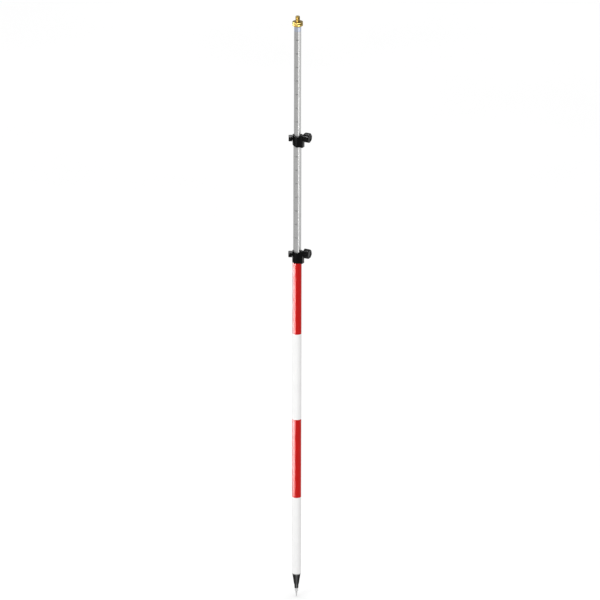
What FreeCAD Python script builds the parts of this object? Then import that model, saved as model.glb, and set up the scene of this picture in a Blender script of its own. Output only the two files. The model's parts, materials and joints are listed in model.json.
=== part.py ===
import FreeCAD, Part
import math
import os

# Prism pole: three telescoping aluminium tubes, a steel ground point in a ferrule, two screw
# clamps with snap locks, a circular level vial and a threaded brass stud for the prism.
# Millimetres. The origin is the tip of the point, +Z runs up the pole, the clamp knobs are
# on the +X side, the snap locks on the -X side and the level vial on the +Y side.

V = FreeCAD.Vector

# Tubes
WALL = 1.2
TUBE_GAP = 0.3            # radial air gap between one tube and the next
FIT = 0.05                # radial clearance of every running fit
FILM = 0.5                # coloured film on the lower tube
LOWER_R = 15.5
MIDDLE_R = LOWER_R - WALL - TUBE_GAP
UPPER_R = MIDDLE_R - WALL - TUBE_GAP
GUIDE_LENGTH = 20.0       # nylon guide at the lower end of each sliding tube

# Heights along the pole
POINT_SHOULDER = 32.5
FERRULE_STEP = 48.0
FERRULE_FACE = 54.0       # the point's insert fills the ferrule from here
INSERT_TOP = 84.0
LOWER_FOOT = 86.0
PIN_Z = 112.0             # cross pin that fixes the ferrule in the tube
FERRULE_TOP = 130.0
BAND_EDGES = [LOWER_FOOT + 3.0, 372.0, 662.0, 978.0, 1241.0]
LOWER_CLAMP_Z = 1241.0
UPPER_CLAMP_Z = 1669.0
MIDDLE_FOOT = 540.0
UPPER_FOOT = 990.0
COLLAR_Z = 2094.0
LOCK_RING_Z = 2111.0
FLANGE_Z = 2124.0
STUD_Z = 2128.5
TOP_Z = 2148.5

# Foot, radii
POINT_TIP_R = 1.0
POINT_SHANK_R = 3.6
POINT_SHOULDER_R = 6.4
POINT_THREAD_R = 5.0
POINT_INSERT_R = 7.5
FERRULE_NOSE_R = 6.7
FERRULE_BORE = 11.0
FERRULE_LIP_R = 15.0      # the tube's end stands on this lip
PIN_HOLE = 2.5

# Clamps, heights above the clamp's own underside
CLAMP_R = 17.4
CLAMP_HEIGHT = 44.0
CLAMP_SEAT = 21.0         # how far the outer tube reaches into the clamp
DIP = 4.5                 # how far the top rim dips at the front and back
DIP_HALF_WIDTH = 15.0
FOOT_CUT_START = 4.0      # the underside slopes up towards the snap lock from here
FOOT_CUT_RISE = {"lower": 0.0, "upper": 8.0}
BUSHING_TOP = 37.5        # the clamp's lip above it keeps the bushing in
KNOB_ANGLE = -28.0        # the clamp screw points 28 degrees forward of +X
KNOB_HEIGHT = 38.0
LOCK_ANGLE = 180.0
LOCK_HEIGHT = 30.5
SCREW_ANGLES = [35.0, 145.0]
SCREW_HEIGHT = 10.0
SCREW_R = 1.5

# Clamp screw, distances from the pole axis
EAR_REACH = 24.5
EAR_HALF_WIDTH = 9.0
KNOB_BOSS_R = 7.6
KNOB_BOSS_END = 27.0
INSERT_R = 5.6
INSERT_START = 21.0
SHOE_R = 5.0
SHOE_END = 18.5
SHOE_WINDOW_R = 5.3
SOCKET_R = 2.6
SOCKET_DEPTH = 2.2
STUD_R = 4.0
STUD_END = 41.0
KNOB_START = 28.5
KNOB_END = 50.5
KNOB_R = 17.4
KNOB_LOBES = 7
KNOB_TURN = {"lower": 180.0 / KNOB_LOBES, "upper": 0.0}
CAP_R = 9.5
CAP_DEPTH = 2.4

# Snap lock, distances from the pole axis
LOCK_BOSS_R = 7.0         # it stands inside the pull knob
LOCK_BOSS_END = 21.0
PIN_R = 3.0
PIN_HOLE_R = 3.3
PIN_SHOULDER = 19.0
LOCK_ROD_R = 1.5
HOUSING_R = 5.0
HOUSING_START = 16.5
HOUSING_END = 27.5
HOUSING_CAP = 1.5
PULL_START = 18.0
PULL_END = 31.0
PULL_R = 11.5
PULL_FLUTES = 20
SPRING_WIRE_R = 0.35
SPRING_WIRE_SIDES = 8
SPRING_R = 2.3
SPRING_TURNS = 3
INDEX_HOLE_PITCH = 250.0
INDEX_HOLES = 4
MIDDLE_REACH = 590.0      # travel from rest to the last index hole
UPPER_REACH = 580.0

# Level vial behind the lower clamp
VIAL_Y = 40.0
PAD_FACE = 19.0
BRACKET_WIDTH = 20.0
BRACKET_PLATE = 3.0
BRACKET_FOOT = 2.0        # plate's lower edge above the clamp's underside
BRACKET_SCREW_X = 6.0
BRACKET_SCREW_HEIGHT = 16.0
BRACKET_SCREW_DEPTH = 3.0
PLATFORM_Z = LOWER_CLAMP_Z + 5.0
PLATFORM = 3.0
CUP_R = 14.0
CUP_Z = PLATFORM_Z + PLATFORM + 1.5
CUP_HEIGHT = 10.5
CUP_WALL = 1.6
VIAL_WALL = 1.2
ADJUSTER_R = 1.5
ADJUSTER_CIRCLE = 10.0
DOME_GAP = 0.5            # the vial's edge below the cup's rim
GLASS_CROWN = 1.2
FLUID_CROWN = 1.0
BUBBLE_R = 4.0
BUBBLE_DEPTH = 2.5

# Prism thread, 5/8 inch
THREAD_R = 7.94
DISC_R = 18.5
WASHER_R = 14.5
WASHER_SEAT = 2.0         # the washer's thickness between the lock ring and the flange
SET_SCREW_R = 2.0
SET_SCREW_Z = COLLAR_Z + 8.0


def rod(radius, low, high):
    return Part.makeCylinder(radius, high - low, V(0, 0, low))


def ring(outer, inner, low, high):
    return rod(outer, low, high).cut(rod(inner, low - 1, high + 1))


def lathe(profile):
    """A solid turned about Z from a closed outline of (radius, height) points."""
    outline = [V(r, 0, z) for r, z in profile]
    face = Part.Face(Part.makePolygon(outline + outline[:1]))
    return face.revolve(V(0, 0, 0), V(0, 0, 1), 360)


def aim(shape, angle, height):
    """Turns a shape made along +Z to point out from the pole axis at this angle and height."""
    turned = shape.copy()
    turned.rotate(V(0, 0, 0), V(0, 1, 0), 90)
    turned.rotate(V(0, 0, 0), V(0, 0, 1), angle)
    turned.translate(V(0, 0, height))
    return turned


def drill(radius, start, end, angle, height):
    return aim(rod(radius, start, end), angle, height)


def moved(shape, x=0.0, y=0.0, z=0.0):
    copy = shape.copy()
    copy.translate(V(x, y, z))
    return copy


def round_edges(shape, radius, wanted):
    """Rounds the edges that wanted(edge) picks."""
    edges = [edge for edge in shape.Edges if wanted(edge)]
    return shape.makeFillet(radius, edges)


def save(nodes):
    os.makedirs("parts", exist_ok=True)
    for name, shape in nodes.items():
        shape.exportStep("parts/" + name + ".step")
        valid = shape.isValid()
        print(name, "solids", len(shape.Solids), "valid", valid, "volume", round(shape.Volume, 1))


# Foot

def pin_hole():
    return drill(PIN_HOLE, -20, 20, 0, PIN_Z)


def steel_point():
    cone_end = 17.0
    thread_end = INSERT_TOP - 4
    return lathe([(0, 0), (POINT_TIP_R, 0.7), (POINT_SHANK_R, cone_end),
                  (POINT_SHANK_R, cone_end + 2), (POINT_SHOULDER_R, cone_end + 5),
                  (POINT_SHOULDER_R, POINT_SHOULDER), (POINT_THREAD_R, POINT_SHOULDER),
                  (POINT_THREAD_R, thread_end - 1), (POINT_THREAD_R - 1, thread_end),
                  (0, thread_end)])


def foot_ferrule():
    spigot_r = LOWER_R - WALL - FIT
    neck = POINT_THREAD_R + 0.2
    step_r = FERRULE_NOSE_R + 1
    profile = [(neck, POINT_SHOULDER), (FERRULE_NOSE_R, POINT_SHOULDER), (step_r, FERRULE_STEP),
               (step_r + 1, FERRULE_STEP), (FERRULE_LIP_R - 1, LOWER_FOOT - 2.5),
               (FERRULE_LIP_R, LOWER_FOOT - 1.5), (FERRULE_LIP_R, LOWER_FOOT),
               (spigot_r, LOWER_FOOT), (spigot_r, FERRULE_TOP - 2), (spigot_r - 1, FERRULE_TOP),
               (FERRULE_BORE, FERRULE_TOP), (FERRULE_BORE, INSERT_TOP),
               (POINT_INSERT_R, INSERT_TOP), (POINT_INSERT_R, FERRULE_FACE), (neck, FERRULE_FACE)]
    return lathe(profile).cut(pin_hole())


def point_insert():
    return ring(POINT_INSERT_R, POINT_THREAD_R + FIT, FERRULE_FACE, INSERT_TOP)


def ferrule_pin():
    reach = LOWER_R - 0.2
    return drill(PIN_HOLE - 0.1, -reach, reach, 0, PIN_Z)


# Tubes

def lower_tube():
    tube = ring(LOWER_R, LOWER_R - WALL, LOWER_FOOT, LOWER_CLAMP_Z + CLAMP_SEAT)
    tube = tube.cut(pin_hole())
    return tube.cut(clamp_screw_holes(LOWER_CLAMP_Z))


def index_holes(clamp_z, reach):
    """Holes that the snap lock drops into; the last one marks the longest setting."""
    last = clamp_z + LOCK_HEIGHT - reach
    holes = [drill(PIN_HOLE_R, 0, LOWER_R, LOCK_ANGLE, last + step * INDEX_HOLE_PITCH)
             for step in range(INDEX_HOLES)]
    return Part.makeCompound(holes)


def middle_tube():
    tube = ring(MIDDLE_R, MIDDLE_R - WALL, MIDDLE_FOOT, UPPER_CLAMP_Z + CLAMP_SEAT)
    tube = tube.cut(index_holes(LOWER_CLAMP_Z, MIDDLE_REACH))
    return tube.cut(clamp_screw_holes(UPPER_CLAMP_Z))


def upper_tube():
    tube = ring(UPPER_R, UPPER_R - WALL, UPPER_FOOT, COLLAR_Z)
    return tube.cut(index_holes(UPPER_CLAMP_Z, UPPER_REACH))


def foot_guide(tube_r, foot_z):
    """Nylon plug in a sliding tube's lower end, whose collar runs in the next tube."""
    collar_r = tube_r + TUBE_GAP - FIT
    spigot_r = tube_r - WALL - FIT
    low = foot_z - GUIDE_LENGTH
    bore = spigot_r - 4
    return lathe([(bore, low), (collar_r - 1, low), (collar_r, low + 1), (collar_r, foot_z),
                  (spigot_r, foot_z), (spigot_r, foot_z + GUIDE_LENGTH),
                  (bore, foot_z + GUIDE_LENGTH)])


def bands(first):
    """Every second length of film on the lower tube, starting from the given one."""
    lengths = zip(BAND_EDGES[first:-1:2], BAND_EDGES[first + 1::2])
    return Part.makeCompound([ring(LOWER_R + FILM, LOWER_R, low, high) for low, high in lengths])


# Clamps

def clamp_screw_holes(clamp_z):
    holes = [drill(SCREW_R, 5, 25, angle, clamp_z + SCREW_HEIGHT) for angle in SCREW_ANGLES]
    return Part.makeCompound(holes)


def rim_dip():
    """A shallow trough along Y that lowers the clamp's top rim at the front and back."""
    dip_r = (DIP_HALF_WIDTH ** 2 + DIP ** 2) / (2 * DIP)
    centre = V(0, -40, CLAMP_HEIGHT - DIP + dip_r)
    return Part.makeCylinder(dip_r, 80, centre, V(0, 1, 0))


def foot_slope(rise):
    """A wedge under the clamp that lifts its lower rim by this much at the -X side."""
    far = 2 * CLAMP_R
    high = rise * (far - FOOT_CUT_START) / (CLAMP_R - FOOT_CUT_START)
    corners = [V(-FOOT_CUT_START, -far, 0), V(-far, -far, high), V(-far, -far, 0)]
    return Part.Face(Part.makePolygon(corners + corners[:1])).extrude(V(0, 2 * far, 0))


def clamp_shell(outer_r, foot_rise):
    """Barrel with a tapered foot and a full-height ear for the screw, with rounded rims."""
    foot_r = outer_r + 1
    taper = 2.8 * (CLAMP_R - foot_r)
    barrel = lathe([(0, 0), (foot_r, 0), (CLAMP_R, taper), (CLAMP_R, CLAMP_HEIGHT),
                    (0, CLAMP_HEIGHT)])
    ear = Part.makeBox(EAR_REACH, 2 * EAR_HALF_WIDTH, CLAMP_HEIGHT, V(0, -EAR_HALF_WIDTH, 0))
    ear = round_edges(ear, 3.0, lambda e: e.BoundBox.ZLength > 1 and e.BoundBox.XMin > 1)
    ear.rotate(V(0, 0, 0), V(0, 0, 1), KNOB_ANGLE)
    shell = barrel.fuse(ear).removeSplitter().cut(rim_dip())
    if foot_rise:
        shell = shell.cut(foot_slope(foot_rise))
    underside = foot_rise + 0.6
    shell = round_edges(shell, 0.6, lambda e: e.BoundBox.ZMax < underside and e.Length > 4)
    rim = CLAMP_HEIGHT - DIP - 0.5
    return round_edges(shell, 1.0, lambda e: e.BoundBox.ZMin > rim)


def boss(radius, end):
    return lathe([(0, 0), (radius, 0), (radius, end - 0.8), (radius - 0.8, end), (0, end)])


def clamp_body(outer_r, inner_r, foot_rise, vial_pad):
    body = clamp_shell(outer_r, foot_rise)
    body = body.fuse(aim(boss(KNOB_BOSS_R, KNOB_BOSS_END), KNOB_ANGLE, KNOB_HEIGHT))
    body = body.fuse(aim(boss(LOCK_BOSS_R, LOCK_BOSS_END), LOCK_ANGLE, LOCK_HEIGHT))
    if vial_pad:
        corner = V(-BRACKET_WIDTH / 2, 0, BRACKET_FOOT)
        body = body.fuse(Part.makeBox(BRACKET_WIDTH, PAD_FACE, BRACKET_WIDTH, corner))
    body = body.cut(rod(outer_r, -1, BUSHING_TOP))
    body = body.cut(rod(inner_r + 2 * TUBE_GAP, 0, 2 * CLAMP_HEIGHT))
    body = body.cut(drill(SHOE_WINDOW_R, 0, INSERT_START, KNOB_ANGLE, KNOB_HEIGHT))
    body = body.cut(drill(INSERT_R, 0, KNOB_BOSS_END + 1, KNOB_ANGLE, KNOB_HEIGHT))
    body = body.cut(drill(PIN_HOLE_R, 0, LOCK_BOSS_END, LOCK_ANGLE, LOCK_HEIGHT))
    body = body.cut(drill(HOUSING_R, HOUSING_START, LOCK_BOSS_END + 1, LOCK_ANGLE, LOCK_HEIGHT))
    body = body.cut(clamp_screw_holes(0))
    if vial_pad:
        body = body.cut(bracket_screw_holes(0))
    return body


def clamp_bushing(outer_r, inner_r):
    bushing = ring(outer_r, inner_r + FIT, CLAMP_SEAT, BUSHING_TOP)
    bushing = bushing.cut(drill(SHOE_WINDOW_R, 0, 20, KNOB_ANGLE, KNOB_HEIGHT))
    return bushing.cut(drill(PIN_HOLE_R, 0, 20, LOCK_ANGLE, LOCK_HEIGHT))


def pan_screw(radius, tip, seat):
    """A pan-head screw along +Z, from its tip to the face its head sits on, with a hex recess."""
    head_r = 2 * radius
    head = 1.8 * radius / 1.5
    screw = lathe([(0, tip), (radius - 0.05, tip), (radius - 0.05, seat), (head_r, seat),
                   (head_r, seat + 0.6 * head), (0.75 * head_r, seat + head), (0, seat + head)])
    hexagon = [V(radius * math.cos(k * math.pi / 3), radius * math.sin(k * math.pi / 3),
                 seat + 0.4 * head) for k in range(7)]
    recess = Part.Face(Part.makePolygon(hexagon)).extrude(V(0, 0, head))
    return screw.cut(recess)


def clamp_screws(outer_r):
    """Two screws that fix the clamp to the outer tube, short of the tube's bore."""
    tip = outer_r - WALL + TUBE_GAP
    screw = pan_screw(SCREW_R, tip, CLAMP_R)
    return Part.makeCompound([aim(screw, angle, SCREW_HEIGHT) for angle in SCREW_ANGLES])


def thread_insert():
    insert = ring(INSERT_R, STUD_R + FIT, INSERT_START, KNOB_BOSS_END)
    return aim(insert, KNOB_ANGLE, KNOB_HEIGHT)


def pressure_shoe(inner_r):
    shoe = drill(SHOE_R, 5, SHOE_END, KNOB_ANGLE, KNOB_HEIGHT)
    shoe = shoe.cut(rod(inner_r + TUBE_GAP, 0, CLAMP_HEIGHT))
    return shoe.cut(drill(SOCKET_R, SHOE_END - SOCKET_DEPTH, SHOE_END + 1, KNOB_ANGLE, KNOB_HEIGHT))


def knob_stud():
    nose_r = SOCKET_R - 0.1
    start = SHOE_END - SOCKET_DEPTH + 0.1
    stud = lathe([(0, start), (nose_r, start), (nose_r, SHOE_END + 0.1),
                  (STUD_R, SHOE_END + 0.1), (STUD_R, STUD_END), (0, STUD_END)])
    return aim(stud, KNOB_ANGLE, KNOB_HEIGHT)


def clamp_knob(turn):
    """Lobed hand knob: a thick disc with a scallop between each pair of lobes."""
    cap_seat = KNOB_END - CAP_DEPTH - 0.6
    knob = lathe([(STUD_R, KNOB_START), (KNOB_R - 1.5, KNOB_START), (KNOB_R, KNOB_START + 1.5),
                  (KNOB_R, KNOB_END - 3), (KNOB_R - 0.9, KNOB_END - 0.9),
                  (KNOB_R - 3, KNOB_END), (CAP_R + 1, KNOB_END), (CAP_R, KNOB_END - 0.6),
                  (CAP_R, cap_seat), (0, cap_seat), (0, STUD_END), (STUD_R, STUD_END)])
    scallop_r = 4.5
    scallop_circle = KNOB_R + 2.6
    for lobe in range(KNOB_LOBES):
        angle = (lobe + 0.5) * 2 * math.pi / KNOB_LOBES + math.radians(turn)
        x = scallop_circle * math.cos(angle)
        y = scallop_circle * math.sin(angle)
        knob = knob.cut(moved(rod(scallop_r, KNOB_START - 1, KNOB_END + 1), x, y))
    return aim(knob, KNOB_ANGLE, KNOB_HEIGHT)


def knob_cap():
    low = KNOB_END - CAP_DEPTH - 0.6
    cap = lathe([(0, low), (CAP_R, low), (CAP_R, KNOB_END - 0.9), (CAP_R - 0.6, KNOB_END - 0.6),
                 (CAP_R - 1.4, KNOB_END - 1.0), (0, KNOB_END - 1.4)])
    return aim(cap, KNOB_ANGLE, KNOB_HEIGHT)


# Snap locks

def lock_housing():
    housing = lathe([(PIN_R + FIT, HOUSING_START), (HOUSING_R, HOUSING_START),
                     (HOUSING_R, HOUSING_END), (LOCK_ROD_R + FIT, HOUSING_END),
                     (LOCK_ROD_R + FIT, HOUSING_END - HOUSING_CAP),
                     (PIN_R + FIT, HOUSING_END - HOUSING_CAP)])
    return aim(housing, LOCK_ANGLE, LOCK_HEIGHT)


def lock_pin(inner_r):
    tip = inner_r + TUBE_GAP
    rod_end = PULL_END - 0.5
    pin = lathe([(0, tip), (PIN_R - 1, tip), (PIN_R, tip + 1), (PIN_R, PIN_SHOULDER),
                 (LOCK_ROD_R, PIN_SHOULDER), (LOCK_ROD_R, rod_end), (0, rod_end)])
    return aim(pin, LOCK_ANGLE, LOCK_HEIGHT)


def lock_spring():
    """A coil of eight-sided wire round the rod, between the pin's shoulder and the housing cap."""
    room = SPRING_WIRE_R + 0.1
    start = PIN_SHOULDER + room
    length = HOUSING_END - HOUSING_CAP - room - start
    helix = Part.makeHelix(length / SPRING_TURNS, length, SPRING_R)
    corner_r = SPRING_WIRE_R / math.cos(math.pi / SPRING_WIRE_SIDES)
    angles = [(k + 0.5) * 2 * math.pi / SPRING_WIRE_SIDES for k in range(SPRING_WIRE_SIDES)]
    corners = [V(SPRING_R + corner_r * math.cos(a), 0, corner_r * math.sin(a)) for a in angles]
    section = Part.makePolygon(corners + corners[:1])
    wire = Part.Wire(helix).makePipeShell([section], True, True)
    return aim(moved(wire, z=start), LOCK_ANGLE, LOCK_HEIGHT)


def pull_knob():
    skirt_r = LOCK_BOSS_R + 0.4
    skirt_end = LOCK_BOSS_END + 0.5
    cavity_r = HOUSING_R + 0.4
    floor = HOUSING_END + 0.5
    knob = lathe([(skirt_r, PULL_START), (PULL_R - 1, PULL_START), (PULL_R, PULL_START + 1),
                  (PULL_R, PULL_END - 1), (PULL_R - 1, PULL_END), (LOCK_ROD_R, PULL_END),
                  (LOCK_ROD_R, floor), (cavity_r, floor), (cavity_r, skirt_end),
                  (skirt_r, skirt_end)])
    flute_r = 0.9
    for flute in range(PULL_FLUTES):
        angle = flute * 2 * math.pi / PULL_FLUTES
        x = (PULL_R + 0.3) * math.cos(angle)
        y = (PULL_R + 0.3) * math.sin(angle)
        knob = knob.cut(moved(rod(flute_r, PULL_START - 1, PULL_END + 1), x, y))
    return aim(knob, LOCK_ANGLE, LOCK_HEIGHT)


def clamp_set(name, clamp_z, outer_r, inner_r, vial_pad):
    """All pieces of one clamp and its snap lock, named for the section it sits on."""
    pieces = {
        "_clamp_body": clamp_body(outer_r, inner_r, FOOT_CUT_RISE[name], vial_pad),
        "_clamp_bushing": clamp_bushing(outer_r, inner_r),
        "_clamp_screws": clamp_screws(outer_r),
        "_thread_insert": thread_insert(),
        "_pressure_shoe": pressure_shoe(inner_r),
        "_knob_stud": knob_stud(),
        "_clamp_knob": clamp_knob(KNOB_TURN[name]),
        "_knob_cap": knob_cap(),
        "_lock_housing": lock_housing(),
        "_lock_pin": lock_pin(inner_r),
        "_lock_spring": lock_spring(),
        "_pull_knob": pull_knob(),
    }
    return {name + key: moved(shape, z=clamp_z) for key, shape in pieces.items()}


# Level vial

def bracket_pair(shape):
    return Part.makeCompound([moved(shape, x=x) for x in (-BRACKET_SCREW_X, BRACKET_SCREW_X)])


def bracket_screw_holes(clamp_z):
    hole = drill(SCREW_R, PAD_FACE - BRACKET_SCREW_DEPTH, PAD_FACE + 2 * BRACKET_PLATE, 90,
                 clamp_z + BRACKET_SCREW_HEIGHT)
    return bracket_pair(hole)


def bracket_screws():
    screw = pan_screw(SCREW_R, PAD_FACE - BRACKET_SCREW_DEPTH, PAD_FACE + BRACKET_PLATE)
    return bracket_pair(aim(screw, 90, LOWER_CLAMP_Z + BRACKET_SCREW_HEIGHT))


def adjuster_places():
    angles = [math.radians(90 + 120 * k) for k in range(3)]
    return [(ADJUSTER_CIRCLE * math.cos(a), VIAL_Y + ADJUSTER_CIRCLE * math.sin(a)) for a in angles]


def adjuster_holes():
    hole = rod(ADJUSTER_R, PLATFORM_Z - 5, CUP_Z + CUP_WALL)
    return Part.makeCompound([moved(hole, x, y) for x, y in adjuster_places()])


def vial_bracket():
    side = -BRACKET_WIDTH / 2
    plate = Part.makeBox(BRACKET_WIDTH, BRACKET_PLATE, BRACKET_WIDTH,
                         V(side, PAD_FACE, LOWER_CLAMP_Z + BRACKET_FOOT))
    arm = Part.makeBox(BRACKET_WIDTH, VIAL_Y - PAD_FACE, PLATFORM, V(side, PAD_FACE, PLATFORM_Z))
    disc = moved(rod(CUP_R, PLATFORM_Z, PLATFORM_Z + PLATFORM), y=VIAL_Y)
    bracket = plate.fuse(arm).fuse(disc).removeSplitter()
    return bracket.cut(bracket_screw_holes(LOWER_CLAMP_Z)).cut(adjuster_holes())


def vial_cup():
    top = CUP_Z + CUP_HEIGHT
    inner = CUP_R - CUP_WALL
    cup = lathe([(0, CUP_Z), (CUP_R - 0.5, CUP_Z), (CUP_R, CUP_Z + 0.5), (CUP_R, top),
                 (inner, top), (inner, CUP_Z + CUP_WALL), (0, CUP_Z + CUP_WALL)])
    return moved(cup, y=VIAL_Y).cut(adjuster_holes())


def vial_profile(radius, low, high, crown):
    """A closed drum whose top is a shallow dome, crown above its edge."""
    drum = rod(radius, low, high + crown)
    dome_r = (radius ** 2 + crown ** 2) / (2 * crown)
    return drum.common(Part.makeSphere(dome_r, V(0, 0, high + crown - dome_r)))


def vial_drum():
    low = CUP_Z + CUP_WALL
    return vial_profile(CUP_R - CUP_WALL - 0.1, low, CUP_Z + CUP_HEIGHT - DOME_GAP, GLASS_CROWN)


def fluid_edge():
    return CUP_Z + CUP_HEIGHT - DOME_GAP - VIAL_WALL


def fluid_drum():
    low = CUP_Z + CUP_WALL + VIAL_WALL
    radius = CUP_R - CUP_WALL - 0.1 - VIAL_WALL
    return vial_profile(radius, low, fluid_edge(), FLUID_CROWN)


def bubble():
    top = fluid_edge() + FLUID_CROWN
    sphere_r = 1.5 * BUBBLE_R
    drop = Part.makeSphere(sphere_r, V(0, 0, top - sphere_r - 0.6))
    return drop.common(rod(BUBBLE_R, top - BUBBLE_DEPTH, top))


def vial_ring():
    low = CUP_Z + CUP_HEIGHT
    ring_in = CUP_R - 4.0
    return moved(lathe([(ring_in, low + 0.8), (CUP_R - 1.5, low), (CUP_R, low),
                        (CUP_R, low + 1.0), (CUP_R - 0.6, low + 1.6),
                        (ring_in, low + 1.6)]), y=VIAL_Y)


def adjusting_screws():
    screw = pan_screw(ADJUSTER_R, -CUP_Z - CUP_WALL, -PLATFORM_Z)
    screw.rotate(V(0, 0, 0), V(1, 0, 0), 180)
    return Part.makeCompound([moved(screw, x, y) for x, y in adjuster_places()])


def vial_set():
    at_vial = {"vial_glass": vial_drum().cut(fluid_drum()),
               "vial_fluid": fluid_drum().cut(bubble()),
               "vial_bubble": bubble()}
    pieces = {name: moved(shape, y=VIAL_Y) for name, shape in at_vial.items()}
    pieces["vial_bracket"] = vial_bracket()
    pieces["vial_bracket_screws"] = bracket_screws()
    pieces["vial_cup"] = vial_cup()
    pieces["vial_ring"] = vial_ring()
    pieces["vial_adjusting_screws"] = adjusting_screws()
    return pieces


# Head

def head_collar():
    spigot_r = UPPER_R - WALL - FIT
    bore = THREAD_R + FIT
    spigot_z = COLLAR_Z - 40
    collar = lathe([(bore, spigot_z), (spigot_r - 1, spigot_z), (spigot_r, spigot_z + 1),
                    (spigot_r, COLLAR_Z), (UPPER_R, COLLAR_Z), (UPPER_R, LOCK_RING_Z),
                    (bore, LOCK_RING_Z)])
    return collar.cut(drill(SET_SCREW_R, 0, 2 * UPPER_R, -90, SET_SCREW_Z))


def collar_set_screw():
    screw = rod(SET_SCREW_R - FIT, THREAD_R + 0.2, UPPER_R - 0.2)
    screw = screw.cut(rod(SET_SCREW_R / 2, UPPER_R - 2, UPPER_R))
    return aim(screw, -90, SET_SCREW_Z)


def lock_ring():
    low = LOCK_RING_Z + 0.1
    high = FLANGE_Z - WASHER_SEAT
    bore = THREAD_R + FIT
    return lathe([(bore, low), (UPPER_R + 0.8, low), (DISC_R, low + 3.6), (DISC_R, high - 0.8),
                  (DISC_R - 0.8, high), (bore, high)])


def flange_washer():
    return ring(WASHER_R, THREAD_R + 0.3, FLANGE_Z - WASHER_SEAT + 0.1, FLANGE_Z - 0.1)


def prism_stud():
    shank_z = COLLAR_Z - 24
    return lathe([(0, shank_z), (THREAD_R - 1.5, shank_z), (THREAD_R, shank_z + 1.5),
                  (THREAD_R, FLANGE_Z), (DISC_R - 0.8, FLANGE_Z), (DISC_R, FLANGE_Z + 0.8),
                  (DISC_R, STUD_Z - 0.8), (DISC_R - 0.8, STUD_Z), (THREAD_R, STUD_Z),
                  (THREAD_R, TOP_Z - 1.5), (THREAD_R - 1.5, TOP_Z), (0, TOP_Z)])


def pole():
    nodes = {
        "steel_point": steel_point(),
        "foot_ferrule": foot_ferrule(),
        "point_insert": point_insert(),
        "ferrule_pin": ferrule_pin(),
        "lower_tube": lower_tube(),
        "white_bands": bands(0),
        "red_bands": bands(1),
        "middle_tube": middle_tube(),
        "middle_foot_guide": foot_guide(MIDDLE_R, MIDDLE_FOOT),
        "upper_tube": upper_tube(),
        "upper_foot_guide": foot_guide(UPPER_R, UPPER_FOOT),
        "head_collar": head_collar(),
        "collar_set_screw": collar_set_screw(),
        "lock_ring": lock_ring(),
        "flange_washer": flange_washer(),
        "prism_stud": prism_stud(),
    }
    nodes.update(clamp_set("lower", LOWER_CLAMP_Z, LOWER_R, MIDDLE_R, True))
    nodes.update(clamp_set("upper", UPPER_CLAMP_Z, MIDDLE_R, UPPER_R, False))
    nodes.update(vial_set())
    return nodes


save(pole())
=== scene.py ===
import bmesh
import bpy
import json
import math
from mathutils import Matrix, Vector


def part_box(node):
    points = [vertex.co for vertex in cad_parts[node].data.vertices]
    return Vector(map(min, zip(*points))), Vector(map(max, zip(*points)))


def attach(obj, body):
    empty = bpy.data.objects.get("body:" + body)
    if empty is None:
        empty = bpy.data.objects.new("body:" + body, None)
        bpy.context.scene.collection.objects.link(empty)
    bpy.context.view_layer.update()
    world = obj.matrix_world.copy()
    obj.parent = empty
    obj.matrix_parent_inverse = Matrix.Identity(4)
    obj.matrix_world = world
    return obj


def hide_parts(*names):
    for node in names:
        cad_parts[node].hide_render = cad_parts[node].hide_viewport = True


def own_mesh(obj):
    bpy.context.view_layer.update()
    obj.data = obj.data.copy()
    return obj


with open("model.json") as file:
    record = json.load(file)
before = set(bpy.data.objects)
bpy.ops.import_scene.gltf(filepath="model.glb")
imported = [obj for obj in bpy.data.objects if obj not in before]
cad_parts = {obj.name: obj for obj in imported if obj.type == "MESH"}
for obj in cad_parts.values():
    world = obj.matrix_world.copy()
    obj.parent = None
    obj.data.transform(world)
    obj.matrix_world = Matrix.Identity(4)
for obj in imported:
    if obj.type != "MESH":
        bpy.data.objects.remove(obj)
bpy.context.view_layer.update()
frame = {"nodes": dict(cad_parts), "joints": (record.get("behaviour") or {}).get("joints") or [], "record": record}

# ---------------------------------------------------------------- places read from the frame

MM = 0.001
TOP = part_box("prism_stud")[1].z
UPPER_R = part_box("upper_tube")[1].x


# ---------------------------------------------------------------- node helpers

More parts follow.
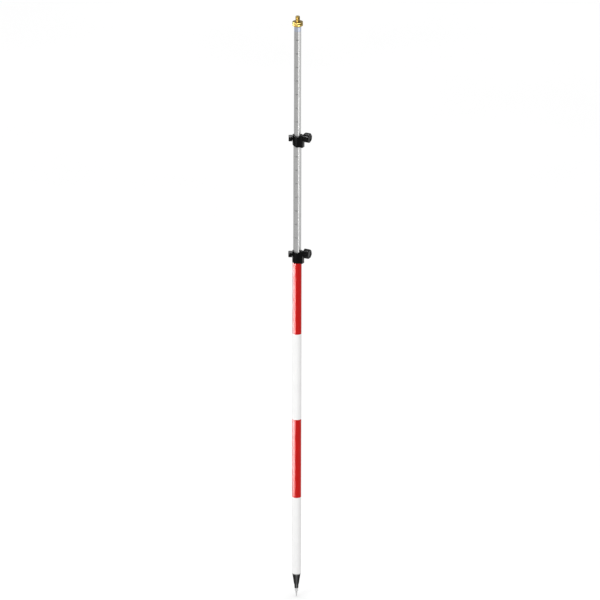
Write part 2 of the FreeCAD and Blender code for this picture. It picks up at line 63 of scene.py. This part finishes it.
class Nodes:
    """A material's node tree, with short calls for the nodes used here."""

    def __init__(self, name):
        self.material = bpy.data.materials.new(name)
        self.material.use_nodes = True
        self.tree = self.material.node_tree
        self.shader = self.tree.nodes["Principled BSDF"]
        self.coords = self.add("ShaderNodeTexCoord").outputs["Object"]

    def add(self, kind, **settings):
        node = self.tree.nodes.new(kind)
        for key, value in settings.items():
            setattr(node, key, value)
        return node

    def link(self, source, target):
        self.tree.links.new(source, target)

    def set(self, **values):
        for key, value in values.items():
            self.shader.inputs[key.replace("_", " ")].default_value = value

    def stretched(self, scale):
        mapping = self.add("ShaderNodeMapping")
        self.link(self.coords, mapping.inputs["Vector"])
        mapping.inputs["Scale"].default_value = scale
        return mapping.outputs["Vector"]

    def noise(self, scale, detail=3.0, roughness=0.55, stretch=(1, 1, 1)):
        node = self.add("ShaderNodeTexNoise")
        self.link(self.stretched(stretch), node.inputs["Vector"])
        node.inputs["Scale"].default_value = scale
        node.inputs["Detail"].default_value = detail
        node.inputs["Roughness"].default_value = roughness
        return node.outputs["Fac"]

    def ramp(self, factor, stops):
        node = self.add("ShaderNodeValToRGB")
        elements = node.color_ramp.elements
        while len(elements) < len(stops):
            elements.new(0.5)
        for element, (place, colour) in zip(elements, stops):
            element.position = place
            element.color = colour if len(colour) == 4 else (*colour, 1)
        self.link(factor, node.inputs["Fac"])
        return node.outputs["Color"]

    def spread(self, factor, low, high):
        """Maps a 0-1 factor to a number between low and high."""
        node = self.add("ShaderNodeMapRange")
        node.inputs["To Min"].default_value = low
        node.inputs["To Max"].default_value = high
        self.link(factor, node.inputs["Value"])
        return node.outputs["Result"]

    def bump(self, height, strength, distance):
        node = self.add("ShaderNodeBump")
        node.inputs["Strength"].default_value = strength
        node.inputs["Distance"].default_value = distance
        self.link(height, node.inputs["Height"])
        self.link(node.outputs["Normal"], self.shader.inputs["Normal"])
        return node

    def paint(self, colour=None, roughness=None):
        if colour is not None:
            self.link(colour, self.shader.inputs["Base Color"])
        if roughness is not None:
            self.link(roughness, self.shader.inputs["Roughness"])


# ---------------------------------------------------------------- materials

def drawn_aluminium():
    m = Nodes("drawn_aluminium")
    m.set(Metallic=1.0)
    grain = m.noise(900, 2, 0.6, (1, 1, 0.012))
    cloud = m.noise(14, 4, 0.6, (1, 1, 0.35))
    m.paint(m.ramp(cloud, [(0.3, (0.37, 0.37, 0.37)), (0.7, (0.42, 0.42, 0.415))]),
            m.spread(grain, 0.30, 0.42))
    m.bump(grain, 0.25, 0.00004)
    return m.material


def film(name, deep, pale):
    m = Nodes(name)
    m.set(Metallic=0.0, IOR=1.5, Specular_IOR_Level=0.12)
    cloud = m.noise(22, 4, 0.6)
    fine = m.noise(1400, 2, 0.5)
    m.paint(m.ramp(cloud, [(0.25, deep), (0.75, pale)]), m.spread(fine, 0.17, 0.21))
    m.bump(fine, 0.12, 0.00002)
    return m.material


def moulded_black():
    m = Nodes("moulded_black")
    m.set(Metallic=0.0, IOR=1.5, Specular_IOR_Level=0.05)
    pebble = m.noise(1600, 3, 0.6)
    cloud = m.noise(60, 4, 0.6)
    m.paint(m.ramp(cloud, [(0.3, (0.001, 0.001, 0.001)), (0.75, (0.003, 0.003, 0.003))]),
            m.spread(cloud, 0.24, 0.40))
    m.bump(pebble, 0.25, 0.00006)
    return m.material


def satin_black():
    """The foot's moulding, duller and greyer than the clamps."""
    m = Nodes("satin_black")
    m.set(Metallic=0.0, IOR=1.5, Specular_IOR_Level=0.012)
    cloud = m.noise(90, 4, 0.6)
    scuff = m.noise(1200, 3, 0.6, (1, 1, 0.3))
    m.paint(m.ramp(cloud, [(0.3, (0.002, 0.002, 0.002)), (0.75, (0.004, 0.004, 0.004))]),
            m.spread(scuff, 0.34, 0.42))
    m.bump(scuff, 0.25, 0.00005)
    return m.material


def turned_metal(name, deep, pale, rough_low, rough_high):
    m = Nodes(name)
    m.set(Metallic=1.0)
    rings = m.noise(1500, 2, 0.6, (0.02, 0.02, 1))
    cloud = m.noise(90, 4, 0.6)
    m.paint(m.ramp(cloud, [(0.3, deep), (0.7, pale)]), m.spread(cloud, rough_low, rough_high))
    m.bump(rings, 0.2, 0.00003)
    return m.material


def anodised(name, deep, pale):
    m = Nodes(name)
    m.set(Metallic=0.85)
    cloud = m.noise(70, 4, 0.6)
    fine = m.noise(2500, 2, 0.6)
    m.paint(m.ramp(cloud, [(0.3, deep), (0.7, pale)]), m.spread(cloud, 0.28, 0.38))
    m.bump(fine, 0.15, 0.00003)
    return m.material


def natural_nylon():
    m = Nodes("natural_nylon")
    m.set(IOR=1.53)
    cloud = m.noise(80, 4, 0.6)
    m.paint(m.ramp(cloud, [(0.3, (0.74, 0.71, 0.64)), (0.7, (0.82, 0.80, 0.75))]),
            m.spread(cloud, 0.4, 0.55))
    m.bump(m.noise(1800, 2, 0.5), 0.2, 0.00003)
    return m.material


def washer_rubber():
    m = Nodes("washer_rubber")
    cloud = m.noise(300, 4, 0.7)
    m.paint(m.ramp(cloud, [(0.3, (0.012, 0.012, 0.012)), (0.7, (0.03, 0.03, 0.03))]),
            m.spread(cloud, 0.6, 0.8))
    m.bump(cloud, 0.4, 0.00005)
    return m.material


def clear(name, tint, ior):
    m = Nodes(name)
    m.set(Transmission_Weight=1.0, IOR=ior)
    cloud = m.noise(120, 2, 0.5)
    m.paint(m.ramp(cloud, [(0.2, tint), (0.8, tuple(0.97 * c for c in tint))]),
            m.spread(cloud, 0.02, 0.05))
    return m.material


finishes = {
    "aluminium": drawn_aluminium(),
    "red_film": film("red_film", (0.50, 0.003, 0.002), (0.56, 0.004, 0.003)),
    "white_film": film("white_film", (0.79, 0.79, 0.785), (0.83, 0.83, 0.825)),
    "black_plastic": moulded_black(),
    "brass": turned_metal("brass", (0.30, 0.215, 0.06), (0.38, 0.28, 0.09), 0.32, 0.44),
    "steel": turned_metal("steel", (0.50, 0.50, 0.50), (0.66, 0.66, 0.66), 0.16, 0.28),
    "collar_metal": anodised("collar_metal", (0.32, 0.35, 0.42), (0.40, 0.43, 0.50)),
    "black_anodised": anodised("black_anodised", (0.012, 0.012, 0.014), (0.024, 0.024, 0.027)),
    "nylon": natural_nylon(),
    "rubber": washer_rubber(),
    "vial_glass": clear("vial_glass", (0.97, 0.99, 0.99), 1.49),
    "vial_fluid": clear("vial_fluid", (0.72, 0.88, 0.10), 1.36),
    "vial_bubble": clear("vial_bubble", (0.95, 1.0, 0.85), 1.02),
}


def finish(piece, slot):
    piece.data.materials.clear()
    piece.data.materials.append(finishes[slot])


for part in frame["record"]["subparts"]:
    finish(frame["nodes"][part["node"]], part["material_slot"])
ferrule = frame["nodes"]["foot_ferrule"]
ferrule.data.materials.clear()
ferrule.data.materials.append(satin_black())


# ---------------------------------------------------------------- mesh helpers

JOINTS = {joint["name"]: joint for joint in frame["joints"]}
BODY_OF = {node: body for body, nodes in frame["record"]["behaviour"]["bodies"].items()
           for node in nodes}
SLOT_OF = {part["node"]: part["material_slot"] for part in frame["record"]["subparts"]}


def outline(points, steps=4):
    """An outline of (radius, height, rounding) points, with each rounded corner as an arc."""
    line = []
    for k, (r, h, rounding) in enumerate(points):
        corner = Vector((r, h))
        if not rounding or k in (0, len(points) - 1):
            line.append(corner)
            continue
        to_last = (Vector(points[k - 1][:2]) - corner).normalized()
        to_next = (Vector(points[k + 1][:2]) - corner).normalized()
        half = to_last.angle(to_next) / 2
        middle = (to_last + to_next).normalized()
        centre = corner + middle * rounding / math.sin(half)
        start = (corner + to_last * rounding / math.tan(half)) - centre
        end = (corner + to_next * rounding / math.tan(half)) - centre
        sweep = start.angle(end)
        for step in range(steps + 1):
            part = sweep * step / steps
            arm = (start * math.sin(sweep - part) + end * math.sin(part)) / math.sin(sweep)
            line.append(centre + arm)
    return line


def turned(line, segments, radius_at=None):
    """A mesh turned about Z from an outline that starts and ends on the axis or at a bore.
    radius_at(radius, height, angle) shapes rims, threads and lobes."""
    mesh = bmesh.new()
    closed = line[0].x > 0
    rows = []
    for point in line:
        if point.x <= 0:
            rows.append([mesh.verts.new((0, 0, point.y))])
            continue
        row = []
        for k in range(segments):
            angle = 2 * math.pi * k / segments
            r = radius_at(point.x, point.y, angle) if radius_at else point.x
            row.append(mesh.verts.new((r * math.cos(angle), r * math.sin(angle), point.y)))
        rows.append(row)
    pairs = list(zip(rows, rows[1:])) + ([(rows[-1], rows[0])] if closed else [])
    for low, high in pairs:
        for k in range(segments):
            after = (k + 1) % segments
            if len(low) == 1:
                mesh.faces.new((low[0], high[after], high[k]))
            elif len(high) == 1:
                mesh.faces.new((low[k], low[after], high[0]))
            else:
                mesh.faces.new((low[k], low[after], high[after], high[k]))
    bmesh.ops.recalc_face_normals(mesh, faces=mesh.faces)
    return mesh


def piece_from(mesh, name, body, slot, sharp=35, material=None, place=None):
    """Makes a smooth-shaded object of a bmesh, rides it on its body and gives it its finish."""
    if place is not None:
        mesh.transform(place)
    data = bpy.data.meshes.new(name)
    mesh.to_mesh(data)
    mesh.free()
    data.shade_smooth()
    data.set_sharp_from_angle(angle=math.radians(sharp))
    piece = bpy.data.objects.new(name, data)
    bpy.context.scene.collection.objects.link(piece)
    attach(piece, body)
    finish(piece, slot)
    if material is not None:
        data.materials.clear()
        data.materials.append(material)
    return piece


DETAILED = []                 # each stand-in with its finish


def stand_for(node, mesh, sharp=35, place=None):
    """Puts a finer mesh in the place of one CAD node."""
    piece = piece_from(mesh, node + "_detail", BODY_OF[node], SLOT_OF[node], sharp, None, place)
    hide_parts(node)
    DETAILED.append((piece, SLOT_OF[node]))
    return piece


def aimed(axis, height):
    """Stands a shape made along +Z out from the pole axis, along this level direction."""
    heading = math.atan2(axis[1], axis[0])
    return (Matrix.Translation((0, 0, height)) @ Matrix.Rotation(heading, 4, "Z")
            @ Matrix.Rotation(math.pi / 2, 4, "Y"))


def reach(node, place):
    """A node's extent in the frame of place: lowest and highest z there, and outer radius."""
    inverse = place.inverted()
    points = [inverse @ v.co for v in frame["nodes"][node].data.vertices]
    heights = [p.z for p in points]
    return min(heights), max(heights), max(math.hypot(p.x, p.y) for p in points)


# ---------------------------------------------------------------- brass head

STUD_R = 7.94 * MM            # 5/8 inch thread
PITCH = 25.4 * MM / 11
THREAD_DEPTH = 0.6 * PITCH
CREST, FLANK = 0.15, 0.7      # shares of half a turn
ROWS_PER_TURN = 8
STUD_LENGTH = 20 * MM         # above the flange
WASHER_GAP = 2 * MM           # between the lock ring and the flange
KNURLS = 84
KNURL_DEPTH = 0.45 * MM
STUD_SIDES = 4 * KNURLS
RING_SIDES = 6 * KNURLS


def thread_radius(r, h, angle, run_out):
    """Radius on a right-handed 60 degree thread that fades out above run_out."""
    turn = (h / PITCH - angle / (2 * math.pi)) % 1
    flank = min(max((abs(2 * turn - 1) - CREST) / FLANK, 0), 1)
    fade = min(max((run_out - h) / PITCH, 0), 1)
    return r - THREAD_DEPTH * (1 - flank) * fade


def knurl_radius(r, angle):
    tooth = abs(2 * ((angle * KNURLS / (2 * math.pi)) % 1) - 1)
    return r - KNURL_DEPTH * (1 - tooth)


def prism_stud_detail():
    low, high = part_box("prism_stud")
    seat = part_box("lock_ring")[1].z + WASHER_GAP
    face = high.z - STUD_LENGTH
    rim, shank = high.x, STUD_R
    rows = int((high.z - low.z) / PITCH * ROWS_PER_TURN)

    def run(bottom, top):
        count = max(2, int((top - bottom) / (high.z - low.z) * rows))
        return [Vector((shank, bottom + (top - bottom) * k / count)) for k in range(count + 1)]

    flange = outline([(shank, seat, 0), (rim - 0.4 * MM, seat, 0.3 * MM),
                      (rim, seat + 0.9 * MM, 0.2 * MM), (rim, face - 0.9 * MM, 0.2 * MM),
                      (rim - 0.4 * MM, face, 0.3 * MM), (shank + 1.6 * MM, face, 0),
                      (shank + 1.0 * MM, face - 0.5 * MM, 0), (shank, face - 0.5 * MM, 0)])
    chamfer = 1.4 * MM
    line = ([Vector((0, low.z)), Vector((shank - chamfer, low.z))]
            + run(low.z + chamfer, seat - 0.4 * MM) + flange
            + run(face - 0.3 * MM, high.z - chamfer)
            + [Vector((shank - chamfer, high.z)), Vector((2.2 * MM, high.z)),
               Vector((0, high.z - 0.8 * MM))])

    def shaped(r, h, angle):
        if r > rim - 0.2 * MM and seat + 0.8 * MM < h < face - 0.8 * MM:
            return knurl_radius(r, angle)
        if abs(r - shank) < 0.05 * MM and not seat - 0.5 * MM < h < face - 0.35 * MM:
            return thread_radius(r, h, angle, high.z + PITCH)
        return r

    stand_for("prism_stud", turned(line, STUD_SIDES, shaped))


def lock_ring_detail():
    low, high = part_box("lock_ring")
    rim, bore, collar = high.x, STUD_R + 0.05 * MM, UPPER_R + 0.9 * MM
    line = outline([(bore, low.z, 0), (collar, low.z, 0.2 * MM),
                    (rim, low.z + 3.4 * MM, 0.3 * MM), (rim, high.z - 0.7 * MM, 0.2 * MM),
                    (rim - 0.5 * MM, high.z, 0.2 * MM), (bore, high.z, 0)])

    def shaped(r, h, angle):
        return knurl_radius(r, angle) if r > rim - 0.15 * MM else r

    stand_for("lock_ring", turned(line, RING_SIDES, shaped))


# ---------------------------------------------------------------- clamp and lock knobs

LOBES = 7
LOBE_SIDES = 36
LOBE_DEPTH = 2.4 * MM
LOBE_ROOT_R = 12.5 * MM       # the valleys fade out inside this
KNOB_PHASE = {"lower": math.pi, "upper": 0}     # a lobe or a valley at the top
CAP_SIDES = 96
FLUTES = 20
FLUTE_SIDES = 12
FLUTE_DEPTH = 0.45 * MM
SOFT_EDGE = 40                # degrees; a sharper edge stays sharp on the black pieces


def knob_place(which):
    joint = JOINTS[which + "_knob_turn"]
    return aimed(joint["axis"], joint["pos_m"][2])


def clamp_knob_detail(which):
    place = knob_place(which)
    start, end, rim = reach(which + "_clamp_knob", place)
    cap = reach(which + "_knob_cap", place)[2]
    bore = 4.0 * MM
    line = outline([(bore, start, 0), (rim - 1.4 * MM, start, 0.5 * MM),
                    (rim, start + 1.4 * MM, 0.5 * MM),
                    (rim, end - 2.6 * MM, 2.4 * MM), (rim - 2.8 * MM, end, 1.8 * MM),
                    (cap + 1.2 * MM, end, 0.5 * MM), (cap + 0.1 * MM, end - 1.2 * MM, 0.3 * MM),
                    (cap + 0.1 * MM, end - 2.9 * MM, 0), (bore, end - 2.9 * MM, 0)], 6)

    def shaped(r, h, angle):
        valley = (0.5 - 0.5 * math.cos(LOBES * angle + KNOB_PHASE[which])) ** 2
        share = min(max((r - LOBE_ROOT_R) / (rim - LOBE_ROOT_R), 0), 1)
        return r - LOBE_DEPTH * valley * share

    mesh = turned(line, LOBES * LOBE_SIDES, shaped)
    knob = stand_for(which + "_clamp_knob", mesh, SOFT_EDGE, place)
    knob.visible_glossy = False      # keeps its dark reflection off the tube beside it


def knob_cap_detail(which):
    place = knob_place(which)
    low, high, rim = reach(which + "_knob_cap", place)
    line = outline([(0, low, 0), (rim, low, 0), (rim, high - 0.2 * MM, 0.2 * MM),
                    (rim - 0.8 * MM, high, 0.3 * MM), (rim - 1.8 * MM, high - 0.9 * MM, 0.4 * MM),
                    (rim - 3.6 * MM, high - 1.1 * MM, 0.4 * MM),
                    (rim - 4.2 * MM, high - 0.7 * MM, 0.3 * MM),
                    (2.2 * MM, high - 0.7 * MM, 0.3 * MM), (1.6 * MM, high - 1.1 * MM, 0.2 * MM),
                    (0, high - 1.1 * MM, 0)], 4)
    stand_for(which + "_knob_cap", turned(line, CAP_SIDES), SOFT_EDGE, place)


def lock_place(which, node):
    low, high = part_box(node)
    return aimed(JOINTS[which + "_lock_pull"]["axis"], (low.z + high.z) / 2)


def pull_knob_detail(which):
    node = which + "_pull_knob"
    place = lock_place(which, node)
    start, end, rim = reach(node, place)
    rod, cavity, floor_at = 1.5 * MM, 5.4 * MM, end - 3.0 * MM
    skirt, skirt_end = 7.4 * MM, start + 3.5 * MM
    line = outline([(rod, floor_at, 0), (cavity, floor_at, 0), (cavity, skirt_end, 0),
                    (skirt, skirt_end, 0), (skirt, start, 0),
                    (rim - 0.6 * MM, start, 0), (rim, start + 0.6 * MM, 0),
                    (rim, end - 1.6 * MM, 0.6 * MM), (rim - 1.8 * MM, end, 0.8 * MM),
                    (rim - 4.2 * MM, end, 0.5 * MM), (rim - 5.0 * MM, end - 0.6 * MM, 0.4 * MM),
                    (2.4 * MM, end - 0.6 * MM, 0.2 * MM), (rod, end - 0.9 * MM, 0)], 4)

    def shaped(r, h, angle):
        flute = (0.5 - 0.5 * math.cos(FLUTES * angle)) ** 1.5
        inner = rim - 1.5 * MM
        share = min(max((r - inner) / (rim - inner), 0), 1)
        return r - FLUTE_DEPTH * flute * share

    stand_for(node, turned(line, FLUTES * FLUTE_SIDES, shaped), SOFT_EDGE, place)


def lock_spring_detail(which):
    """The same coil, as a stand-in with a mesh of its own."""
    node = which + "_lock_spring"
    coil = bmesh.new()
    coil.from_mesh(frame["nodes"][node].data)
    piece = stand_for(node, coil, SOFT_EDGE)
    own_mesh(piece)


# ---------------------------------------------------------------- scales on the bare tubes

INK_LIFT = 0.04 * MM          # how far the print stands off the tube
INK_ROOT = 0.12 * MM          # how far it reaches into the wall
SCALE_ANGLE = math.radians(-127)
SCALE_START = 30 * MM         # from the tube's lower end
SCALE_END = 3 * MM            # below what covers the tube's upper end
NUMERAL = 4.6 * MM            # height of the figures
CAPITAL_SHARE = 0.7           # of the font's size
TICK = 0.32 * MM
LONG_TICK = 5.5 * MM
SHORT_TICK = 3.2 * MM
FIGURE_GAP = 0.9 * MM
COLUMN = 0.8 * MM             # the print is cut this fine so that it can bend
HALF_SLAB = 0.1 * MM
FIGURES_EVERY = 5             # centimetres
PRINT_EDGE = 30               # degrees; a sharper edge stays sharp on the prints


def ink():
    m = Nodes("printed_ink")
    m.set(IOR=1.45)
    wear = m.noise(700, 4, 0.7)
    m.paint(m.ramp(wear, [(0.3, (0.02, 0.02, 0.022)), (0.8, (0.06, 0.06, 0.06))]),
            m.spread(wear, 0.45, 0.7))
    m.bump(wear, 0.2, 0.00002)
    return m.material


def wrapped(mesh, radius, height):
    """Wraps a flat print round a tube: x runs round it, y up it and z out of it."""
    for v in mesh.verts:
        angle = SCALE_ANGLE + v.co.x / radius
        r = radius + (INK_LIFT if v.co.z > 0 else -INK_ROOT)
        v.co = Vector((r * math.cos(angle), r * math.sin(angle), height + v.co.y))


def numeral(text):
    """A flat slab of figures, cut into narrow columns so that it can bend round a tube."""
    curve = bpy.data.curves.new("numeral", "FONT")
    curve.body, curve.size, curve.extrude = text, NUMERAL / CAPITAL_SHARE, HALF_SLAB
    curve.align_x, curve.align_y, curve.resolution_u = "LEFT", "CENTER", 3
    holder = bpy.data.objects.new("numeral", curve)
    bpy.context.scene.collection.objects.link(holder)
    bpy.context.view_layer.update()
    flat = bpy.data.meshes.new_from_object(holder.evaluated_get(
        bpy.context.evaluated_depsgraph_get()))
    mesh = bmesh.new()
    mesh.from_mesh(flat)
    width = max(v.co.x for v in mesh.verts)
    for k in range(1, int(width / COLUMN) + 1):
        everything = mesh.verts[:] + mesh.edges[:] + mesh.faces[:]
        bmesh.ops.bisect_plane(mesh, geom=everything, plane_co=(k * COLUMN, 0, 0),
                               plane_no=(1, 0, 0))
    bmesh.ops.remove_doubles(mesh, verts=mesh.verts, dist=0.001 * MM)
    bpy.data.objects.remove(holder)
    bpy.data.curves.remove(curve)
    bpy.data.meshes.remove(flat)
    return mesh


def tick(length):
    mesh = bmesh.new()
    columns = max(1, round(length / COLUMN))
    rows = []
    for k in range(columns + 1):
        x = -length * k / columns
        rows.append([mesh.verts.new((x, y * TICK / 2, z * HALF_SLAB))
                     for y, z in ((-1, -1), (1, -1), (1, 1), (-1, 1))])
    for near, far in zip(rows, rows[1:]):
        for a in range(4):
            b = (a + 1) % 4
            mesh.faces.new((near[a], near[b], far[b], far[a]))
    mesh.faces.new(rows[0][::-1])
    mesh.faces.new(rows[-1])
    return mesh


def tube_scale(tube, clamp, foot_z, top_z, material):
    """Centimetre ticks with figures at every 5 cm; each gives the pole's height with that
    line at the top of the clamp, so the figures fall towards the tube's upper end."""
    radius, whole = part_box(tube)[1].x, bmesh.new()
    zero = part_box(clamp)[1].z
    first = math.ceil((zero + TOP - top_z) * 100)
    last = math.floor((zero + TOP - foot_z) * 100)
    for centimetres in range(first, last + 1):
        height = zero + TOP - centimetres / 100
        numbered = centimetres % FIGURES_EVERY == 0
        parts = [tick(LONG_TICK if numbered else SHORT_TICK)]
        if numbered:
            parts.append(numeral(str(centimetres)))
            for v in parts[1].verts:
                v.co.x += FIGURE_GAP
        for part in parts:
            wrapped(part, radius, height)
            flat = bpy.data.meshes.new("part")
            part.to_mesh(flat)
            part.free()
            whole.from_mesh(flat)
            bpy.data.meshes.remove(flat)
    bmesh.ops.recalc_face_normals(whole, faces=whole.faces)
    piece_from(whole, tube + "_scale", BODY_OF[tube], "black_plastic", PRINT_EDGE, material)


# ---------------------------------------------------------------- vial mark

GLASS_CROWN = 1.2 * MM        # the glass is domed by this much
MARK_R = 4.6 * MM
MARK_HALF_WIDTH = 0.35 * MM
MARK_ROOT, MARK_LIFT = 0.1 * MM, 0.05 * MM
MARK_SIDES = 96


def vial_mark(material):
    """The black centring circle printed on top of the vial."""
    low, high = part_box("vial_glass")
    centre = (low + high) / 2
    radius = (high.x - low.x) / 2
    dome = (radius ** 2 + GLASS_CROWN ** 2) / (2 * GLASS_CROWN)

    def on_dome(r):
        return high.z - dome + math.sqrt(dome ** 2 - r ** 2)

    inner, outer = MARK_R - MARK_HALF_WIDTH, MARK_R + MARK_HALF_WIDTH
    line = [Vector((r, on_dome(r) + lift)) for r, lift in
            ((inner, -MARK_ROOT), (outer, -MARK_ROOT), (outer, MARK_LIFT), (inner, MARK_LIFT))]
    place = Matrix.Translation((centre.x, centre.y, 0))
    piece_from(turned(line, MARK_SIDES), "vial_centre_mark", BODY_OF["vial_glass"],
               "black_anodised", PRINT_EDGE, material, place)


print_ink = ink()
prism_stud_detail()
lock_ring_detail()
for which in ("lower", "upper"):
    clamp_knob_detail(which)
    knob_cap_detail(which)
    pull_knob_detail(which)
    lock_spring_detail(which)
tube_scale("middle_tube", "lower_clamp_body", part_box("middle_tube")[0].z + SCALE_START,
           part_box("upper_clamp_body")[0].z - SCALE_END, print_ink)
tube_scale("upper_tube", "upper_clamp_body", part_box("upper_tube")[0].z + SCALE_START,
           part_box("upper_tube")[1].z - SCALE_END, print_ink)
vial_mark(print_ink)


# ---------------------------------------------------------------- floor, light and camera

FLOOR_SIZE = 120              # metres


def floor():
    bpy.ops.mesh.primitive_plane_add(size=FLOOR_SIZE, location=(0, 0, 0))
    plane = bpy.context.object
    plane.name = "floor"
    m = Nodes("studio_floor")
    cloud = m.noise(0.7, 3, 0.5)
    m.paint(m.ramp(cloud, [(0.3, (0.90, 0.90, 0.90)), (0.7, (0.93, 0.93, 0.93))]),
            m.spread(cloud, 0.8, 0.9))
    plane.data.materials.append(m.material)


def pieces_in(slots, besides=()):
    """The pieces with these finishes, besides the nodes named."""
    found = [frame["nodes"][node] for node, slot in SLOT_OF.items()
             if slot in slots and node not in besides]
    return found + [piece for piece, slot in DETAILED if slot in slots]


def softbox(name, azimuth, elevation, distance, size, watts, only=None, aim_z=TOP / 2,
            reaches=None):
    """An area light that looks at a point of the pole from this azimuth (0 in front, 90 right).
    only is "diffuse" or "glossy" where the light is meant for just one of them, and reaches
    lists the pieces that it lights, if not all."""
    light = bpy.data.lights.new(name, "AREA")
    light.shape = "RECTANGLE"
    light.size, light.size_y = size
    light.energy = watts
    box = bpy.data.objects.new(name, light)
    a, e = math.radians(azimuth), math.radians(elevation)
    away = Vector((math.sin(a) * math.cos(e), -math.cos(a) * math.cos(e), math.sin(e)))
    box.location = Vector((0, 0, aim_z)) + away * distance
    box.rotation_euler = (-away).to_track_quat("-Z", "Y").to_euler()
    box.visible_diffuse = only != "glossy"
    box.visible_glossy = only != "diffuse"
    bpy.context.scene.collection.objects.link(box)
    if reaches is not None:
        receivers = bpy.data.collections.new(name + "_receivers")
        for piece in reaches:
            receivers.objects.link(piece)
        box.light_linking.receiver_collection = receivers


AMBIENT = 0.5                 # the world's strength as a light
OVERHEAD = 1.9                # the sun's strength
OVERHEAD_SPREAD = math.radians(60)
RED_BAND_Z = 0.72             # heights that two of the lights look at
FERRULE_Z = 0.06


def sky():
    """A white backdrop for the camera, and a dimmer even light for the object."""
    world = bpy.data.worlds.new("studio")
    bpy.context.scene.world = world
    world.use_nodes = True
    tree = world.node_tree
    background = tree.nodes["Background"]
    background.inputs["Color"].default_value = (1, 1, 1, 1)
    shown = tree.nodes.new("ShaderNodeMapRange")
    shown.inputs["To Min"].default_value = AMBIENT
    seen = tree.nodes.new("ShaderNodeLightPath").outputs["Is Camera Ray"]
    tree.links.new(seen, shown.inputs["Value"])
    tree.links.new(shown.outputs["Result"], background.inputs["Strength"])


def lights():
    """A soft sun from above, a key from the left, and one light for each finish's highlights."""
    overhead = bpy.data.lights.new("overhead", "SUN")
    overhead.energy, overhead.angle = OVERHEAD, OVERHEAD_SPREAD
    bpy.context.scene.collection.objects.link(bpy.data.objects.new("overhead", overhead))
    metal = pieces_in(("aluminium", "collar_metal"))
    plastic = pieces_in(("black_plastic",), besides=("foot_ferrule",))
    softbox("left_key", azimuth=-36, elevation=15, distance=3.0, size=(1.0, 3.0), watts=24,
            only="diffuse")
    softbox("white_key", azimuth=-27, elevation=12, distance=3.0, size=(0.8, 3.0), watts=14,
            only="diffuse", reaches=pieces_in(("white_film",)))
    softbox("film_gloss", azimuth=-77, elevation=0, distance=1.0, size=(1.6, 1.6), watts=320,
            only="glossy", aim_z=RED_BAND_Z, reaches=pieces_in(("red_film",)))
    softbox("metal_strip", azimuth=42, elevation=0, distance=3.0, size=(0.9, 4.0), watts=45,
            only="glossy", reaches=metal)
    softbox("metal_side", azimuth=100, elevation=0, distance=3.0, size=(2.0, 4.0), watts=12,
            only="glossy", reaches=metal)
    softbox("plastic_top", azimuth=-60, elevation=84, distance=2.2, size=(0.8, 0.8), watts=500,
            only="glossy", reaches=plastic)
    softbox("plastic_left", azimuth=-32, elevation=16, distance=2.2, size=(0.25, 1.6), watts=40,
            only="glossy", reaches=plastic)
    softbox("plastic_back", azimuth=122, elevation=-12, distance=2.5, size=(1.0, 0.8), watts=10,
            only="glossy", reaches=plastic)
    softbox("foot_glow", azimuth=2, elevation=8, distance=1.2, size=(0.2, 0.2), watts=5500,
            only="glossy", aim_z=FERRULE_Z, reaches=[ferrule])
    softbox("brass_gloss", azimuth=-38, elevation=10, distance=1.5, size=(0.8, 1.2), watts=130,
            only="glossy", aim_z=TOP, reaches=pieces_in(("brass",)))


FRAME_WIDTH = 2.1             # metres across the picture at the pole
LENS, SENSOR = 1500.0, 36.0
CAMERA_ELEVATION = math.radians(19)
CAMERA_ROLL = math.radians(0.13)
CAMERA_AIM = Vector((0.0103, 0, 1.1015))
NEAREST, FURTHEST = 10.0, 400.0     # what the camera sees, in metres from it


def camera():
    """A long lens from above, aimed so the pole fills the frame's height."""
    data = bpy.data.cameras.new("camera")
    data.lens, data.sensor_width = LENS, SENSOR
    data.clip_start, data.clip_end = NEAREST, FURTHEST
    cam = bpy.data.objects.new("camera", data)
    back = Vector((0, -math.cos(CAMERA_ELEVATION), math.sin(CAMERA_ELEVATION)))
    cam.location = CAMERA_AIM + back * (FRAME_WIDTH * LENS / SENSOR)
    upright = (-back).to_track_quat("-Z", "Y").to_matrix()
    cam.rotation_euler = (upright @ Matrix.Rotation(CAMERA_ROLL, 3, "Z")).to_euler()
    bpy.context.scene.collection.objects.link(cam)
    bpy.context.scene.camera = cam


bpy.context.scene.view_settings.view_transform = "Standard"
floor()
sky()
lights()
camera()
